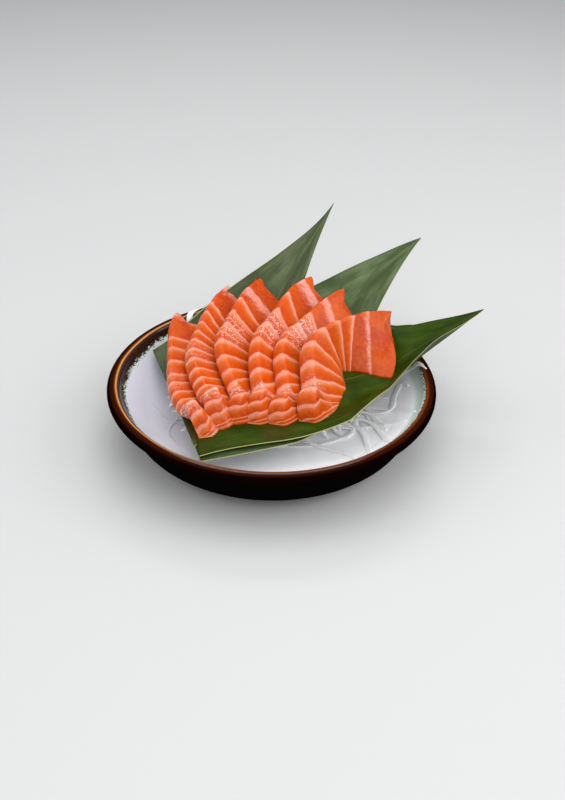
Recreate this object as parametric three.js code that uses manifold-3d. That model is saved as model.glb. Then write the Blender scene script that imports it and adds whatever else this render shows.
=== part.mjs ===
// A plate of salmon sashimi: a deep round dish, four bamboo leaves on a bed of shredded
// daikon, and six thick slices of salmon that lean on each other like fallen dominoes.
// Millimetres, +Z up. The origin is the middle of the dish's flat foot, the viewer's side is -Y.

import * as THREE from 'three';
import { mergeVertices } from 'three/addons/utils/BufferGeometryUtils.js';
import Module from 'manifold-3d';

const wasm = await Module();
wasm.setup();

// ---------------------------------------------------------------- driving dimensions

const GAP = 0.35;               // air between neighbouring pieces

const DISH = {
  height: 36.7,
  footRadius: 52,
  neckRadius: 79.6,             // the body, just under the rolled lip
  neckHeight: 28.4,
  bodyRoundness: 3.7,           // how fast the body swells out above the foot
  bodySteps: 5,
  bodySpacing: 1.6,             // its rings lie closer together near the foot
  lipRadius: 86.2,              // middle of the lip's rounded section
  lipHalfWidth: 3.8,
  lipHalfHeight: 3.4,
  lipFrom: -70,                 // angles round the lip's section, in degrees
  lipTo: 155,
  lipStep: 32,
  wellFloor: 14,
  wellSteepness: 4.5,           // the well is z = floor + rise * (r / edge) ^ steepness
  wellRings: [1, 0.95, 0.88, 0.79, 0.67, 0.48],
  segments: 56,
};

const LEAF_THICKNESS = 0.55;
const LEAF_PITCH = 0.95;        // from one leaf of the stack to the next
const LEAF_SPREAD = 1.0;        // more of it for each leaf out towards the rim
const LEAF_OVER_LIP = 1.1;      // how high the lowest leaf passes over the dish's lip
const BED_TOP = 31.5;           // top of the daikon that carries the leaves
const LEAF_LAYER = [0, 1, 2].map((n) => BED_TOP + GAP + n * LEAF_PITCH);
const FOOD_LEVEL = LEAF_LAYER[2] + LEAF_THICKNESS + GAP;

// Each leaf grows along `heading` at its tip and `heading + bend` at its cut end. Its two
// halves have their own width, station of greatest width and fullness of the tip, and it
// narrows to its base. Beyond the hinge line, which lies under the food's back edge, the leaf
// rises towards its tip. Its front edge turns up over the stations of `liftRun`.
const LEAVES = [
  {
    name: 'leaf_back', layer: 1, tip: [36.9, 119.9, 86.2], heading: 53, bend: 8, length: 229.5,
    back: { width: 74, shoulder: 0.43, fullness: 0.33 },
    front: { width: 74, shoulder: 0.34, fullness: 0.4 }, narrowing: 0,
    hinge: [0, 54], riseDirection: 102.3, risePower: 1.22, cup: 2.4, edgeLift: 0, liftRun: [0.2, 0.5],
    cut: [[-68.5, 32.8], [-36.2, -68]], colour: 0x5f7555,
  },
  {
    name: 'leaf_middle', layer: 0, tip: [90.4, 108.4, 69.6], heading: 28.7, bend: 31.2, length: 196.5,
    back: { width: 74, shoulder: 0.57, fullness: 1.15 },
    front: { width: 74, shoulder: 0.56, fullness: 0.66 }, narrowing: 0,
    hinge: [48.5, 47], riseDirection: 50.6, risePower: 1.19, cup: 1, edgeLift: 0, liftRun: [0.2, 0.5],
    cut: [[-14, 62], [44, 14]], colour: 0x64795a,
  },
  {
    name: 'leaf_front', layer: 2, tip: [119.7, 38.4, 57.3], heading: 23.1, bend: 5.8, length: 188.5,
    back: { width: 79.5, shoulder: 0.71, fullness: 0.87 },
    front: { width: 85.3, shoulder: 0.43, fullness: 0.98 }, narrowing: 0.32,
    hinge: [65.8, 7], riseDirection: -6.5, risePower: 0.94, cup: 0, edgeLift: 10.2, liftRun: [0.23, 0.59],
    cut: [[-46, 10], [-36, -69.8]], colour: 0x4f7a35,
  },
  {
    name: 'leaf_under', layer: 0, tip: [58, -8, BED_TOP + GAP], heading: 29, bend: -12, length: 108,
    back: { width: 44, shoulder: 0.45, fullness: 0.6 },
    front: { width: 44, shoulder: 0.45, fullness: 0.6 }, narrowing: 0,
    hinge: [66, 7], riseDirection: -17, risePower: 1, cup: 0, edgeLift: 0, liftRun: [0.2, 0.5],
    cut: [[-68.5, 32.8], [-36.2, -69.2]], colour: 0x6b8468,
  },
];
const NARROWED_BASE = 0.45;     // share of a leaf's length over which it narrows to its base
const LIP_CROSSING = 50;        // the leaves cross the dish's lip on this side, in degrees
const CROSSING_FROM = -0.3;     // cosine of the angle from there at which they start to climb
const CROSSING_FADE = 0.5;      // and the further cosine at which they climb in full
const SPREAD_RUN = [64, 14];    // radius where the stack starts to fan out, and over how much
const LIP_RUN = [65, 19];       // the same for the climb over the lip
const RIPPLE = { height: 0.3, from: 66, run: 20, x: [0.16, -0.05], y: 0.11 };
const BACK_LIFT = 0.3;          // share of the edge's lift that its back edge takes
const LEAF_END = 0.995;         // the last station, just short of the pointed tip
const LEAF_STEP = 12;           // length of a leaf between two of its cross-sections
const LEAF_COLUMNS = [-1, -0.85, -0.65, -0.35, 0, 0.35, 0.65, 0.85, 1];

// Each slice stands on its foot line: a tail that runs to the corner and a front that runs
// from it, with a curled front end. The cut face leans back over that line by `lean`
// degrees from upright, and by `endLean` at the very front. Headings are in plan, in
// degrees. Every triple is [tail, corner, front]. A `notch` draws the face's foot in under the
// ridge at the corner: its depth, and how far it runs into the tail and into the front.
const SLICES = [
  { name: 'salmon_slice_1', corner: [-34, -6], headings: [254.5, 293], curl: -46, tail: 50.5, front: 48.5,
    bendRun: 66, height: [35, 22.5, 21], lean: [67.5, 65.5, 62], endLean: 32, thickness: 7.4 },
  { name: 'salmon_slice_2', corner: [-18, 11.5], headings: [237.5, 281.5], curl: -57, tail: 49.5, front: 61.5,
    bendRun: 85, height: [40.5, 31, 22], lean: [61.5, 54.5, 51], endLean: 21.5, thickness: 9.4 },
  { name: 'salmon_slice_3', corner: [-3, 16], headings: [226.5, 277.5], curl: -77, tail: 42, front: 65,
    bendRun: 85, height: [44.5, 32.5, 16.5], lean: [58, 47, 46.5], endLean: 17.5, thickness: 8.3 },
  { name: 'salmon_slice_4', corner: [15, 19], headings: [214.5, 269.5], curl: -58, tail: 42, front: 67.5,
    bendRun: 85, height: [45, 29.5, 17.5], lean: [58, 38.5, 43.5], endLean: 20.5, thickness: 9.1 },
  { name: 'salmon_slice_5', corner: [29.7, 13.4], headings: [199.5, 261.5], curl: -42, tail: 28.5, front: 63,
    bendRun: 48, height: [45.5, 29.5, 15.5], lean: [57, 42.5, 43], endLean: 18, thickness: 10 },
  { name: 'salmon_slice_6', corner: [46.5, 0.7], headings: [178, 253.5], curl: -28, tail: 20.8, front: 49.7,
    bendRun: 28, height: [46, 34.5, 18.7], lean: [63, 38, 44], endLean: 17.5, thickness: 11.2,
    notch: [11.7, 23, 12] },
];
const NOTCH_POWER = 2.3;        // how sharply a notch comes to its point
const FRONT_REACHED = 0.7;      // share of the front at which its own height and lean hold
const CURL_RUN = 26;            // length of the curled front end
const CURLED_THICKNESS = 0.2;   // how much of the curl the slice's thickness follows
const UPRIGHT_RUN = 24;         // length over which the face comes up to its end lean
const ROUND_RUN = 9;            // length over which the front end loses its height
const ROUND_POWER = 2.2;        // and how blunt it stays
const LEAST_HEIGHT = 4;         // of the blunt front end
const TAIL_HOLLOW = 4;          // how far the tail's end draws in below its horn
const TAIL_BULGE = 2;           // how far it swells out near the foot
const TAIL_RUN = 12;            // length of the tail that is drawn into this shape
const HOLLOW_FROM = 0.45;       // share of the face's height at which the hollow starts
const BULGE_TO = 0.6;           // and at which the swelling ends
const WALK_STEP = 0.5;          // step in which foot lines and ridges are walked
const FRONT_SPARE = 2;          // length that the foot line runs on beyond the front end
const TAIL_SPARE = 20;          // and beyond the tail
const FLAKE_PITCH = 9.6;        // flake to flake, along the ridge
const FLAKE_RELIEF = 0.7;       // how far each flake stands out between two fat lines
const STEPS_PER_FLAKE = 2;
const RIM_FALL = 0.8;           // the rim's far edge lies this much lower than the ridge
const RIM_CROWN = 0.4;          // and the rim is this much proud in its middle
const FACE_SHARES = [0, 0.2, 0.42, 0.64, 0.84, 1];
const BACK_SHARES = [1, 0.84, 0.64, 0.35, 0];

// The bed of shredded daikon: a low mound, and strips that stray from it over the dish.
const BED = { middle: [0, 9], reach: [43, 31], sides: 24, clearance: 0.9 };
const BED_LEVELS = [            // [share of its reach, share of its height] of each ring
  [0.12, 0], [0.6, 0], [0.96, 0], [1, 0.25], [1.02, 0.6], [0.97, 0.88], [0.85, 1], [0.12, 1],
];
const STRAND = {
  width: 2.2,
  thickness: 1.1,
  step: 7,
  clearance: 0.9,
  lipRun: [78, 4],              // radius where it starts to keep clear of the lip, and over how much
  lipClearance: 0.8,
  rise: 6,                      // how far its first end climbs into the mound
};
const STRAND_ROUTES = [
  [[30, 14], [58, 21], [79.5, 18.5], [86, 10.5]],
  [[30, 4], [62, -9], [68.5, 4.5], [73, 12.5], [76.5, 6]],
  [[32, 16], [52, 14], [61, 8.5], [68, 3.5]],
  [[32, 6], [49, 4], [52.5, -3], [53.5, -13.5]],
  [[30, 0], [46, -3], [48.5, -8.5], [52, -21]],
  [[32, 8], [50, 2], [54, -4], [58, -17], [62, -29]],
  [[28, 4], [46, -3], [44, -22], [36, -28], [22, -32.5], [5, -33.5]],
  [[20, -4], [43, -17], [49.5, -26], [51, -59]],
  [[26, -2], [49, -12], [57, -23], [62, -51]],
  [[22, -6], [38, -18], [60, -20], [72, -28]],
  [[10, -10], [20, -30], [38, -44], [44, -58]],
  [[30, 12], [56, -1], [70, -12], [77, -24]],
  [[-26, 4], [-48, -8], [-55, -27], [-48, -42]],
  [[-28, 0], [-46, -16], [-58, -14], [-66, -2]],
  [[-22, 22], [-44, 44], [-49.5, 67.5], [-41.5, 78.5]],
  [[-18, 26], [-34, 48], [-52, 50], [-60, 38]],
  [[8, 30], [18, 52], [34, 60], [48, 50]],
  [[24, 24], [46, 38], [60, 34], [66, 20]],
];

// ---------------------------------------------------------------- small helpers

const DEGREE = Math.PI / 180;

function smooth(x) {
  const t = Math.min(1, Math.max(0, x));
  return t * t * (3 - 2 * t);
}

function mix(a, b, t) {
  return a + (b - a) * t;
}

// A closed body from rings of equal length. Each end is closed by a ladder of triangles
// between the two halves of its ring. In a thin body those halves are its upper and lower
// side, and their quads are split along the same diagonals, so that the sides never cross.
function bodyFromRings(rings, thin = false) {
  const positions = rings.flat(2);
  const sides = rings[0].length;
  const index = [];
  for (let i = 0; i + 1 < rings.length; i += 1) {
    for (let j = 0; j < sides; j += 1) {
      const a = i * sides + j;
      const b = i * sides + ((j + 1) % sides);
      if (thin && j >= sides / 2) index.push(a, b, a + sides, b, b + sides, a + sides);
      else index.push(a, b, b + sides, a, b + sides, a + sides);
    }
  }
  const last = (rings.length - 1) * sides;
  const rung = (a, b, c) => index.push(a, c, b, last + a, last + b, last + c);
  let low = 0;
  let high = sides - 1;
  while (high - low > 1) {
    rung(low, low + 1, high);
    low += 1;
    if (high - low > 1) rung(low, high - 1, high);
    high -= 1;
  }
  return solidFrom(positions, index);
}

function solidFrom(positions, index) {
  const build = (order) => new wasm.Manifold(new wasm.Mesh({
    numProp: 3, vertProperties: new Float32Array(positions), triVerts: new Uint32Array(order),
  }));
  const solid = build(index);
  if (solid.volume() > 0) return solid;
  const flipped = [];
  for (let i = 0; i < index.length; i += 3) flipped.push(index[i], index[i + 2], index[i + 1]);
  return build(flipped);
}

function largestPiece(solid) {
  return solid.decompose().reduce((best, piece) => (piece.volume() > best.volume() ? piece : best));
}

function geometryFrom(solid) {
  const mesh = solid.getMesh();
  const geometry = new THREE.BufferGeometry();
  geometry.setAttribute('position', new THREE.BufferAttribute(new Float32Array(mesh.vertProperties), 3));
  geometry.setIndex(Array.from(mesh.triVerts));
  return geometry;
}

function named(name, geometry, colour, roughness) {
  const material = new THREE.MeshStandardMaterial({ color: colour, roughness, metalness: 0 });
  const mesh = new THREE.Mesh(geometry, material);
  mesh.name = name;
  return mesh;
}

// ---------------------------------------------------------------- dish

function wellHeight(radius) {
  const edge = DISH.lipRadius - DISH.lipHalfWidth;
  const rise = DISH.height - DISH.lipHalfHeight - DISH.wellFloor;
  return DISH.wellFloor + rise * (radius / edge) ** DISH.wellSteepness;
}

function dishGeometry() {
  const profile = [new THREE.Vector2(0, 0), new THREE.Vector2(DISH.footRadius, 0)];
  for (let i = 1; i <= DISH.bodySteps; i += 1) {
    const z = DISH.neckHeight * (i / DISH.bodySteps) ** DISH.bodySpacing;
    const inset = (1 - z / DISH.neckHeight) ** DISH.bodyRoundness;
    profile.push(new THREE.Vector2(mix(DISH.neckRadius, DISH.footRadius, inset), z));
  }
  const lipMiddle = DISH.height - DISH.lipHalfHeight;
  for (let angle = DISH.lipFrom; angle <= DISH.lipTo; angle += DISH.lipStep) {
    const x = DISH.lipRadius + DISH.lipHalfWidth * Math.cos(angle * DEGREE);
    profile.push(new THREE.Vector2(x, lipMiddle + DISH.lipHalfHeight * Math.sin(angle * DEGREE)));
  }
  const edge = DISH.lipRadius - DISH.lipHalfWidth;
  for (const share of DISH.wellRings) {
    profile.push(new THREE.Vector2(edge * share, wellHeight(edge * share)));
  }
  profile.push(new THREE.Vector2(0, DISH.wellFloor));
  const geometry = new THREE.LatheGeometry(profile, DISH.segments);
  geometry.deleteAttribute('normal');
  geometry.deleteAttribute('uv');
  const merged = mergeVertices(geometry, 1e-4);
  const index = Array.from(merged.index.array).filter((value, i, all) => {
    const start = i - (i % 3);
    const [a, b, c] = all.slice(start, start + 3);
    return a !== b && b !== c && a !== c;
  });
  const positions = Array.from(merged.attributes.position.array);
  return geometryFrom(solidFrom(positions, index).rotate([90, 0, 0]));
}

// ---------------------------------------------------------------- leaves

function halfWidth(leaf, across, along) {
  const half = across < 0 ? leaf.front : leaf.back;
  const x = Math.min(1, Math.max(0, (1 - along) / (1 - half.shoulder)));
  const base = 1 - leaf.narrowing * (1 - smooth(along / NARROWED_BASE));
  return (half.width / 2) * mix(smooth(x), x, half.fullness) * base;
}

// The leaf's middle line in plan, from its cut end (0) to its tip (1).
function leafSpine(leaf, samples = 120) {
  const points = [];
  let x = leaf.tip[0];
  let y = leaf.tip[1];
  for (let i = samples; i >= 0; i -= 1) {
    const angle = (leaf.heading + leaf.bend * (1 - i / samples)) * DEGREE;
    points.unshift({ x, y, angle });
    x -= (leaf.length / samples) * Math.cos(angle);
    y -= (leaf.length / samples) * Math.sin(angle);
  }
  return (along) => {
    const at = Math.min(samples - 1e-6, Math.max(0, along * samples));
    const a = points[Math.floor(at)];
    const b = points[Math.floor(at) + 1];
    const t = at - Math.floor(at);
    return { x: mix(a.x, b.x, t), y: mix(a.y, b.y, t), angle: mix(a.angle, b.angle, t) };
  };
}

function leafPoint(leaf, spine, along, across, grow = 0) {
  const middle = spine(along);
  const reach = (halfWidth(leaf, across, along) + grow) * across;
  return [middle.x - Math.sin(middle.angle) * reach, middle.y + Math.cos(middle.angle) * reach];
}

// The leaves lie on the daikon, pass over the dish's lip, and rise beyond their hinge lines.
function leafHeight(leaf, x, y, along, across) {
  const direction = leaf.riseDirection * DEGREE;
  const past = (px, py) => (
    (px - leaf.hinge[0]) * Math.cos(direction) + (py - leaf.hinge[1]) * Math.sin(direction)
  );
  const share = Math.max(0, past(x, y) / past(leaf.tip[0], leaf.tip[1]));
  const radius = Math.hypot(x, y) + 1e-9;
  const lipSide = LIP_CROSSING * DEGREE;
  const towards = (x * Math.cos(lipSide) + y * Math.sin(lipSide)) / radius;
  const crossing = smooth((towards - CROSSING_FROM) / CROSSING_FADE);
  const beyond = ([from, run]) => smooth((radius - from) / run);
  const spread = leaf.layer * LEAF_SPREAD * crossing * beyond(SPREAD_RUN);
  const rise = (leaf.tip[2] - LEAF_LAYER[leaf.layer]) * share ** leaf.risePower;
  const overLip = (DISH.height + LEAF_OVER_LIP - LEAF_LAYER[0]) * crossing * beyond(LIP_RUN);
  const waves = Math.sin(RIPPLE.x[0] * x + RIPPLE.x[1] * y) * Math.cos(RIPPLE.y * y);
  const ripple = RIPPLE.height * beyond([RIPPLE.from, RIPPLE.run]) * waves;
  const [from, to] = leaf.liftRun;
  const alongEdge = smooth((along - from) / (to - from));
  const lifted = across < 0 ? alongEdge : BACK_LIFT * smooth(share * 4);
  const lift = leaf.edgeLift * lifted * smooth((Math.abs(across) - 0.5) / 0.5);
  const fold = leaf.cup * across * across * smooth(share * 3);
  const taper = smooth((1 - along) * 4);
  return LEAF_LAYER[leaf.layer] + spread + Math.max(rise, overLip) + ripple + taper * (lift + fold);
}

// Where the rail at `across` meets the straight line of the cut.
function cutStation(leaf, spine, across) {
  const [[ax, ay], [bx, by]] = leaf.cut;
  const side = (along) => {
    const [x, y] = leafPoint(leaf, spine, along, across);
    return (bx - ax) * (y - ay) - (by - ay) * (x - ax);
  };
  const halvings = 40;
  let low = 0;
  let high = 0.97;
  for (let i = 0; i < halvings; i += 1) {
    const middle = (low + high) / 2;
    if (side(middle) < 0) low = middle;
    else high = middle;
  }
  return low;
}

function leafSolid(leaf, grow = 0) {
  const spine = leafSpine(leaf);
  const starts = LEAF_COLUMNS.map((across) => cutStation(leaf, spine, across));
  const stations = Math.round(((1 - Math.min(...starts)) * leaf.length) / LEAF_STEP);
  const rings = [];
  for (let i = 0; i <= stations; i += 1) {
    const top = LEAF_COLUMNS.map((across, j) => {
      const along = Math.min(LEAF_END, mix(starts[j] - grow / leaf.length, 1, i / stations));
      const [x, y] = leafPoint(leaf, spine, along, across, grow);
      return [x, y, leafHeight(leaf, x, y, along, across)];
    });
    const raised = top.map(([x, y, z]) => [x, y, z + LEAF_THICKNESS + grow]);
    const lowered = top.map(([x, y, z]) => [x, y, z - grow]);
    rings.push([...raised, ...lowered.reverse()]);
  }
  return bodyFromRings(rings, true);
}

// ---------------------------------------------------------------- salmon

function threeWay(slice, s, [tail, corner, front]) {
  if (s < 0) return mix(corner, tail, smooth(-s / slice.tail));
  return mix(corner, front, smooth(s / (FRONT_REACHED * slice.front)));
}

function headingAt(slice, s, curlShare = 1) {
  const turn = smooth(s / slice.bendRun + 0.5);
  const curl = smooth((s - (slice.front - CURL_RUN)) / CURL_RUN);
  return (mix(slice.headings[0], slice.headings[1], turn) + slice.curl * curl * curlShare) * DEGREE;
}

// The foot line as a function of the distance s from the corner, negative in the tail.
function footLine(slice) {
  const walk = (sign, reach) => {
    const points = [new THREE.Vector2(...slice.corner)];
    for (let s = 0; s < reach; s += WALK_STEP) {
      const angle = headingAt(slice, sign * (s + WALK_STEP / 2));
      const forward = new THREE.Vector2(Math.cos(angle), Math.sin(angle));
      points.push(points[points.length - 1].clone().addScaledVector(forward, sign * WALK_STEP));
    }
    return points;
  };
  const branches = [walk(1, slice.front + FRONT_SPARE), walk(-1, slice.tail + TAIL_SPARE)];
  return (s) => {
    const branch = branches[s < 0 ? 1 : 0];
    const at = Math.abs(s) / WALK_STEP;
    const i = Math.min(branch.length - 2, Math.floor(at));
    return branch[i].clone().lerp(branch[i + 1], at - i);
  };
}

// The slice's own directions at s: `up` climbs the cut face, `back` goes through the slice.
function stationAt(slice, line, s) {
  const heading = headingAt(slice, s);
  const rest = threeWay(slice, s, slice.lean);
  const lean = mix(rest, slice.endLean, smooth((s - (slice.front - UPRIGHT_RUN)) / UPRIGHT_RUN)) * DEGREE;
  const out = new THREE.Vector3(Math.sin(heading), -Math.cos(heading), 0);
  const vertical = new THREE.Vector3(0, 0, 1);
  const up = vertical.clone().multiplyScalar(Math.cos(lean)).addScaledVector(out, Math.sin(lean));
  const square = headingAt(slice, s, CURLED_THICKNESS);
  const away = new THREE.Vector3(Math.sin(square), -Math.cos(square), 0);
  const back = away.clone().multiplyScalar(Math.cos(lean)).addScaledVector(vertical, -Math.sin(lean));
  const rounding = Math.min(1, Math.max(0, (s - (slice.front - ROUND_RUN)) / ROUND_RUN));
  const full = threeWay(slice, s, slice.height);
  const height = Math.max(LEAST_HEIGHT, full * Math.sqrt(1 - rounding ** ROUND_POWER));
  const foot = line(s);
  return { foot: new THREE.Vector3(foot.x, foot.y, FOOD_LEVEL), up, out, back, away, height, lean };
}

function notchDepth(slice, s) {
  if (!slice.notch) return 0;
  const [depth, tailRun, frontRun] = slice.notch;
  const share = 1 - Math.abs(s) / (s < 0 ? tailRun : frontRun);
  return depth * Math.max(0, share) ** NOTCH_POWER;
}

// Distance s of evenly spaced steps along the ridge, so that flakes keep one size there.
function ridgeSteps(slice, line) {
  const samples = [];
  let length = 0;
  let previous = null;
  for (let s = -slice.tail; s <= slice.front; s += WALK_STEP) {
    const { foot, up, height } = stationAt(slice, line, s);
    const ridge = foot.addScaledVector(up, height);
    if (previous) length += ridge.distanceTo(previous);
    previous = ridge;
    samples.push({ s, length });
  }
  const count = Math.round(length / FLAKE_PITCH) * STEPS_PER_FLAKE;
  const steps = [];
  let i = 0;
  for (let n = 0; n <= count; n += 1) {
    const target = (length * n) / count;
    while (i < samples.length - 2 && samples[i + 1].length < target) i += 1;
    const span = samples[i + 1].length - samples[i].length || 1;
    steps.push(mix(samples[i].s, samples[i + 1].s, (target - samples[i].length) / span));
  }
  return steps;
}

// How far the tail's end stands out at a share of the face's height: a horn on top of a
// hollow, over a swelling near the foot.
function tailReach(share) {
  const hollow = Math.sin(Math.PI * smooth((share - HOLLOW_FROM) / (1 - HOLLOW_FROM)));
  const bulge = Math.sin(Math.PI * Math.min(1, share / BULGE_TO));
  return TAIL_BULGE * bulge - TAIL_HOLLOW * hollow;
}

// One ring round the slice at s: up the cut face, over the rim, down the back.
function sliceRing(slice, line, s, relief, grow) {
  const nearTail = smooth(1 - (s + slice.tail) / TAIL_RUN);
  const through = slice.thickness + grow;
  const faceAt = (share, sunk) => {
    const station = stationAt(slice, line, s - nearTail * tailReach(share));
    const rise = station.height * share + (share === 1 ? grow + relief - sunk : 0);
    return { ...station, point: station.foot.addScaledVector(station.up, rise) };
  };
  const face = FACE_SHARES.map((share) => {
    const { point, back, out } = faceAt(share, 0);
    point.addScaledVector(out, notchDepth(slice, s) * (1 - share));
    return point.addScaledVector(back, -grow - (relief * share) / 2);
  });
  const rear = BACK_SHARES.map((share) => {
    const { point, back, away, lean } = faceAt(share, RIM_FALL);
    return point.addScaledVector(away.divideScalar(Math.cos(lean)).lerp(back, share), through);
  });
  const { up } = stationAt(slice, line, s);
  const rimMiddle = face[face.length - 1].clone().lerp(rear[0], 0.5).addScaledVector(up, RIM_CROWN);
  const ring = [...face, rimMiddle, ...rear];
  const floor = FOOD_LEVEL - grow;
  ring.forEach((point, i) => {
    const low = i === 0 || i === ring.length - 1;
    point.z = low ? floor : Math.max(floor + 0.1, point.z);
  });
  return ring.map((point) => point.toArray());
}

function sliceSolid(slice, grow = 0) {
  const line = footLine(slice);
  const steps = ridgeSteps(slice, line);
  steps[0] -= 2 * grow;
  steps[steps.length - 1] += 2 * grow;
  const rings = steps.map((s, n) => {
    const flake = Math.abs(Math.sin((Math.PI * n) / STEPS_PER_FLAKE));
    return sliceRing(slice, line, s, FLAKE_RELIEF * (flake - 0.5), grow);
  });
  return bodyFromRings(rings);
}

// Each slice gives way to those that lean on it, and to the leaves that it lies on.
function salmonSolids() {
  const leaves = LEAVES.map((leaf) => leafSolid(leaf, GAP));
  return SLICES.map((slice, i) => {
    const neighbours = SLICES.slice(i + 1).map((other) => sliceSolid(other, GAP));
    const cut = [...neighbours, ...leaves].reduce((solid, tool) => solid.subtract(tool), sliceSolid(slice));
    return largestPiece(cut);
  });
}

// ---------------------------------------------------------------- daikon

// The dish's surface that a strip lies on, over the lip too.
function dishSurface(radius) {
  const inLip = (radius - DISH.lipRadius) / DISH.lipHalfWidth;
  if (Math.abs(inLip) >= 1) return wellHeight(Math.min(radius, DISH.lipRadius - DISH.lipHalfWidth));
  const lip = DISH.height - DISH.lipHalfHeight + DISH.lipHalfHeight * Math.sqrt(1 - inLip ** 2);
  return Math.max(lip, wellHeight(DISH.lipRadius - DISH.lipHalfWidth));
}

function bedMound() {
  const rings = BED_LEVELS.map(([reach, share]) => {
    const ring = [];
    for (let i = 0; i < BED.sides; i += 1) {
      const angle = (2 * Math.PI * i) / BED.sides;
      const lump = 1 + 0.05 * Math.sin(5 * angle + 1 + 2 * share) + 0.03 * Math.sin(9 * angle - 3 * share);
      const x = BED.middle[0] + BED.reach[0] * reach * lump * Math.cos(angle);
      const y = BED.middle[1] + BED.reach[1] * reach * lump * Math.sin(angle);
      const low = wellHeight(Math.hypot(x, y)) + BED.clearance;
      ring.push([x, y, mix(low, BED_TOP, share)]);
    }
    return ring;
  });
  return bodyFromRings(rings);
}

// A flat strip along its route in plan, resting on the dish, with its first end in the mound.
function strandSolid(route) {
  const curve = new THREE.SplineCurve(route.map(([x, y]) => new THREE.Vector2(x, y)));
  const steps = Math.max(4, Math.round(curve.getLength() / STRAND.step));
  const rings = [];
  for (let i = 0; i <= steps; i += 1) {
    const at = curve.getPointAt(i / steps);
    const along = curve.getTangentAt(i / steps);
    const side = new THREE.Vector2(-along.y, along.x).multiplyScalar(STRAND.width / 2);
    const [lipFrom, lipReach] = STRAND.lipRun;
    const overLip = STRAND.lipClearance * smooth((at.length() - lipFrom) / lipReach);
    const raised = STRAND.clearance + overLip + STRAND.rise * (1 - i / steps) ** 3;
    const [left, right] = [at.clone().sub(side), at.clone().add(side)].map((edge) => {
      const low = dishSurface(edge.length()) + raised;
      return [[edge.x, edge.y, low], [edge.x, edge.y, low + STRAND.thickness]];
    });
    rings.push([left[0], right[0], right[1], left[1]]);
  }
  return bodyFromRings(rings);
}

function daikonSolid() {
  const joined = STRAND_ROUTES.reduce((solid, route) => solid.add(strandSolid(route)), bedMound());
  return largestPiece(joined);
}

// ---------------------------------------------------------------- the whole

const root = new THREE.Group();
root.add(named('dish', dishGeometry(), 0x2a211f, 0.25));
root.add(named('daikon_shreds', geometryFrom(daikonSolid()), 0xe8e6e2, 0.4));
LEAVES.forEach((leaf) => {
  root.add(named(leaf.name, geometryFrom(leafSolid(leaf)), leaf.colour, 0.5));
});
salmonSolids().forEach((solid, i) => {
  root.add(named(SLICES[i].name, geometryFrom(solid), 0xf0703c, 0.3));
});

export default root;
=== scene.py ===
import math

import bmesh
import bpy
import numpy as np
from mathutils import Matrix, Vector
from mathutils.bvhtree import BVHTree


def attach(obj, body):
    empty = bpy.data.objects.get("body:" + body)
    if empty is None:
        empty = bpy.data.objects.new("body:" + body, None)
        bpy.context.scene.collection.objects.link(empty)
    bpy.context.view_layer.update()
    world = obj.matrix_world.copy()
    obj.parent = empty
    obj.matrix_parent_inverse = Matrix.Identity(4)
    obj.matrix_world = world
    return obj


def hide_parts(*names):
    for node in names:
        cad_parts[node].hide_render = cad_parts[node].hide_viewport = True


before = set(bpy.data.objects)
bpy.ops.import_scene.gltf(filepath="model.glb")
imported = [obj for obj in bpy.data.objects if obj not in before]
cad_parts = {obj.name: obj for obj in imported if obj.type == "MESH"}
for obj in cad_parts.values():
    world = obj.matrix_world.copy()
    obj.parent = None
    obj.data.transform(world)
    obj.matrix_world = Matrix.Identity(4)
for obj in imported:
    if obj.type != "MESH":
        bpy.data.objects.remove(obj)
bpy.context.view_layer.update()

# The looks of a plate of salmon sashimi. All shapes are worked out in millimetres, in the CAD
# frame, from the same named values as the CAD part, and become metres where a mesh is made.

MM = 0.001
GAP = 0.35  # air between neighbouring solids of the CAD part

# The body's neck is just under the rolled lip. The lip's radius is that of the middle of its
# rounded section, which runs over these angles. The well is floor + rise * (r / edge) ^ steepness.
DISH = dict(height=36.7, foot_radius=52, neck_radius=79.6, neck_height=28.4, roundness=3.7,
            lip_radius=86.2, lip_half_width=3.8, lip_half_height=3.4, lip_from=168, lip_to=-62,
            well_floor=14, well_steepness=4.5, well_middle=0.01, well_spacing=0.8, well_rings=46,
            lip_rings=26, body_rings=26, foot_rings=(50.8, 26, 0.5), segments=240)
WELL_EDGE = DISH["lip_radius"] - DISH["lip_half_width"]
LIP_MIDDLE = DISH["height"] - DISH["lip_half_height"]

LEAF_THICKNESS = 0.5  # of a blade, which lies in the middle of its solid's thickness
LEAF_SOLID = 0.55
LEAF_PITCH = 0.95  # from one leaf of the stack to the next
LEAF_SPREAD = 1.0  # more of it for each leaf out towards the rim
LEAF_OVER_LIP = 1.1  # how high the lowest leaf passes over the dish's lip
BED_TOP = 31.5  # top of the daikon that carries the leaves
LEAF_LAYER = [BED_TOP + GAP + n * LEAF_PITCH for n in range(3)]
FOOD_LEVEL = LEAF_LAYER[2] + LEAF_SOLID + GAP

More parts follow.
